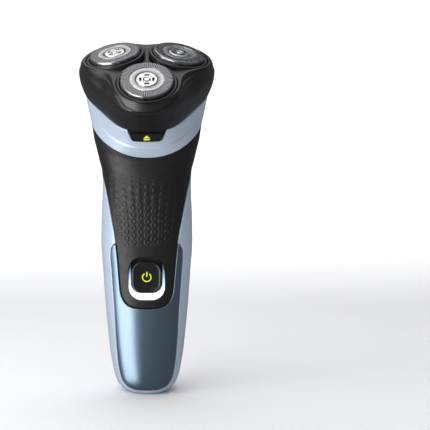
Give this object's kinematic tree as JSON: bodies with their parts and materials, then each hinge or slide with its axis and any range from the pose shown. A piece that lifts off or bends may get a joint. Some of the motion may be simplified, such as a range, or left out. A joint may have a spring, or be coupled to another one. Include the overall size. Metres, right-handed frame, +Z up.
{
  "type": "electric shaver",
  "caption": "Cordless rotary electric shaver with round shaving heads on a tilted triangular head, a hinged shaving unit, a soft black grip, a lit power button and a pop-up trimmer.",
  "frame": {"origin": "centre of the flat base that the shaver stands on", "axes": "+Z up along the handle, -Y to the front with the power button, +X to the right seen from the front"},
  "size_m": [0.06, 0.0628, 0.1566],
  "materials": {
    "ice_blue_plastic": "satin pale blue moulded plastic with a faint metallic flake",
    "blue_panel": "glossy metallic blue-grey lacquered plastic",
    "soft_black": "soft-touch black elastomer with an embossed bump pattern",
    "head_black": "satin black moulded plastic",
    "button_black": "black plastic button with a yellow-green symbol",
    "inner_black": "dark moulded plastic",
    "shaver_steel": "turned and brushed stainless steel",
    "bright_steel": "polished steel",
    "plain_steel": "plain steel",
    "light_white": "frosted white light guide",
    "seal_rubber": "black rubber",
    "nylon": "off-white gear plastic",
    "brass_contact": "plated contact",
    "board_green": "green circuit board laminate",
    "cell_wrap": "shrink-wrapped cell"
  },
  "bodies": {
    "handle": {"rear_shell": "ice_blue_plastic", "neck_collar": "ice_blue_plastic", "front_panel": "blue_panel", "front_grip": "soft_black", "base_cap": "inner_black", "charging_socket": "inner_black", "socket_pin_left": "brass_contact", "socket_pin_right": "brass_contact", "chassis": "inner_black", "chassis_screw_1": "plain_steel", "chassis_screw_2": "plain_steel", "chassis_screw_3": "plain_steel", "battery": "cell_wrap", "circuit_board": "board_green", "power_switch": "inner_black", "status_led": "light_white", "light_ring": "light_white", "button_seal": "seal_rubber", "motor": "plain_steel", "gear_floor": "inner_black", "drive_bulkhead": "head_black", "trimmer_bay": "inner_black", "hinge_pin": "plain_steel"},
    "button": {"power_button": "button_black"},
    "release": {"release_button": "head_black"},
    "main_drive": {"central_gear": "nylon", "motor_shaft": "plain_steel"},
    "shaving_unit": {"head_cover": "head_black", "retaining_frame": "inner_black"},
    "head_drive_front": {"drive_gear_front": "nylon", "drive_spindle_front": "nylon", "spindle_spring_front": "plain_steel"},
    "holder_front": {"holder_ring_front": "head_black"},
    "guard_unit_front": {"guard_front": "shaver_steel", "guard_cap_front": "bright_steel"},
    "cutter_unit_front": {"cutter_front": "shaver_steel"},
    "head_drive_right": {"drive_gear_right": "nylon", "drive_spindle_right": "nylon", "spindle_spring_right": "plain_steel"},
    "holder_right": {"holder_ring_right": "head_black"},
    "guard_unit_right": {"guard_right": "shaver_steel", "guard_cap_right": "bright_steel"},
    "cutter_unit_right": {"cutter_right": "shaver_steel"},
    "head_drive_left": {"drive_gear_left": "nylon", "drive_spindle_left": "nylon", "spindle_spring_left": "plain_steel"},
    "holder_left": {"holder_ring_left": "head_black"},
    "guard_unit_left": {"guard_left": "shaver_steel", "guard_cap_left": "bright_steel"},
    "cutter_unit_left": {"cutter_left": "shaver_steel"},
    "trimmer_slide": {"trimmer_slider": "inner_black"},
    "trimmer": {"trimmer_arm": "ice_blue_plastic", "trimmer_comb": "shaver_steel"},
    "trimmer_knife": {"trimmer_blade": "shaver_steel"}
  },
  "joints": [
    {"name": "button_press", "type": "slide", "parent": "handle", "child": "button", "axis": [0, 1, 0], "range_m": [0, 0.0008], "stiffness_N_per_m": 1500},
    {"name": "release_press", "type": "slide", "parent": "handle", "child": "release", "axis": [0, 0.866, 0.5], "range_m": [0, 0.001], "stiffness_N_per_m": 1500},
    {"name": "head_open", "type": "hinge", "parent": "handle", "child": "shaving_unit", "pos_m": [0, 0.0121, 0.14089], "axis": [-1, 0, 0], "range_deg": [0, 95]},
    {"name": "main_spin", "type": "hinge", "parent": "handle", "child": "main_drive", "pos_m": [0, -0.0037, 0.12207], "axis": [0, -0.5, 0.866], "continuous": true},
    {"name": "gear_spin_front", "type": "hinge", "parent": "handle", "child": "head_drive_front", "pos_m": [0, -0.017, 0.11439], "axis": [0, -0.5, 0.866], "continuous": true},
    {"name": "tilt_front", "type": "hinge", "parent": "shaving_unit", "child": "holder_front", "pos_m": [0, -0.03103, 0.13764], "axis": [1, 0, 0], "range_deg": [-6, 6], "stiffness_Nm_per_rad": 0.05},
    {"name": "float_front", "type": "slide", "parent": "holder_front", "child": "guard_unit_front", "axis": [0, 0.6691, -0.7431], "range_m": [0, 0.0008], "stiffness_N_per_m": 1000},
    {"name": "cutter_spin_front", "type": "hinge", "parent": "guard_unit_front", "child": "cutter_unit_front", "pos_m": [0, -0.0327, 0.1395], "axis": [0, -0.6691, 0.7431], "continuous": true},
    {"name": "gear_spin_right", "type": "hinge", "parent": "handle", "child": "head_drive_right", "pos_m": [0.0133, 0.00295, 0.12591], "axis": [0, -0.5, 0.866], "continuous": true},
    {"name": "tilt_right", "type": "hinge", "parent": "shaving_unit", "child": "holder_right", "pos_m": [0.01375, -0.0104, 0.14955], "axis": [-0.5, 0.75, 0.433], "range_deg": [-6, 6], "stiffness_Nm_per_rad": 0.05},
    {"name": "float_right", "type": "slide", "parent": "holder_right", "child": "guard_unit_right", "axis": [-0.1801, 0.399, -0.8991], "range_m": [0, 0.0008], "stiffness_N_per_m": 1000},
    {"name": "cutter_spin_right", "type": "hinge", "parent": "guard_unit_right", "child": "cutter_unit_right", "pos_m": [0.0142, -0.0114, 0.1518], "axis": [0.1801, -0.399, 0.8991], "continuous": true},
    {"name": "gear_spin_left", "type": "hinge", "parent": "handle", "child": "head_drive_left", "pos_m": [-0.0133, 0.00295, 0.12591], "axis": [0, -0.5, 0.866], "continuous": true},
    {"name": "tilt_left", "type": "hinge", "parent": "shaving_unit", "child": "holder_left", "pos_m": [-0.01375, -0.0104, 0.14955], "axis": [-0.5, -0.75, -0.433], "range_deg": [-6, 6], "stiffness_Nm_per_rad": 0.05},
    {"name": "float_left", "type": "slide", "parent": "holder_left", "child": "guard_unit_left", "axis": [0.1801, 0.399, -0.8991], "range_m": [0, 0.0008], "stiffness_N_per_m": 1000},
    {"name": "cutter_spin_left", "type": "hinge", "parent": "guard_unit_left", "child": "cutter_unit_left", "pos_m": [-0.0142, -0.0114, 0.1518], "axis": [-0.1801, -0.399, 0.8991], "continuous": true},
    {"name": "trimmer_push", "type": "slide", "parent": "handle", "child": "trimmer_slide", "axis": [0, 0, 1], "range_m": [0, 0.005]},
    {"name": "trimmer_out", "type": "hinge", "parent": "handle", "child": "trimmer", "pos_m": [0, 0.0161, 0.082], "axis": [-1, 0, 0], "range_deg": [0, 50]},
    {"name": "trimmer_stroke", "type": "slide", "parent": "trimmer", "child": "trimmer_knife", "axis": [1, 0, 0], "range_m": [-0.0007, 0.0007]}
  ],
  "couplings": [
    {"joint": "gear_spin_front", "follows": "main_spin", "ratio": -2.2},
    {"joint": "cutter_spin_front", "follows": "main_spin", "ratio": -2.2},
    {"joint": "gear_spin_right", "follows": "main_spin", "ratio": -2.2},
    {"joint": "cutter_spin_right", "follows": "main_spin", "ratio": -2.2},
    {"joint": "gear_spin_left", "follows": "main_spin", "ratio": -2.2},
    {"joint": "cutter_spin_left", "follows": "main_spin", "ratio": -2.2},
    {"joint": "trimmer_out", "follows": "trimmer_push", "rad_per_m": 174.52}
  ]
}
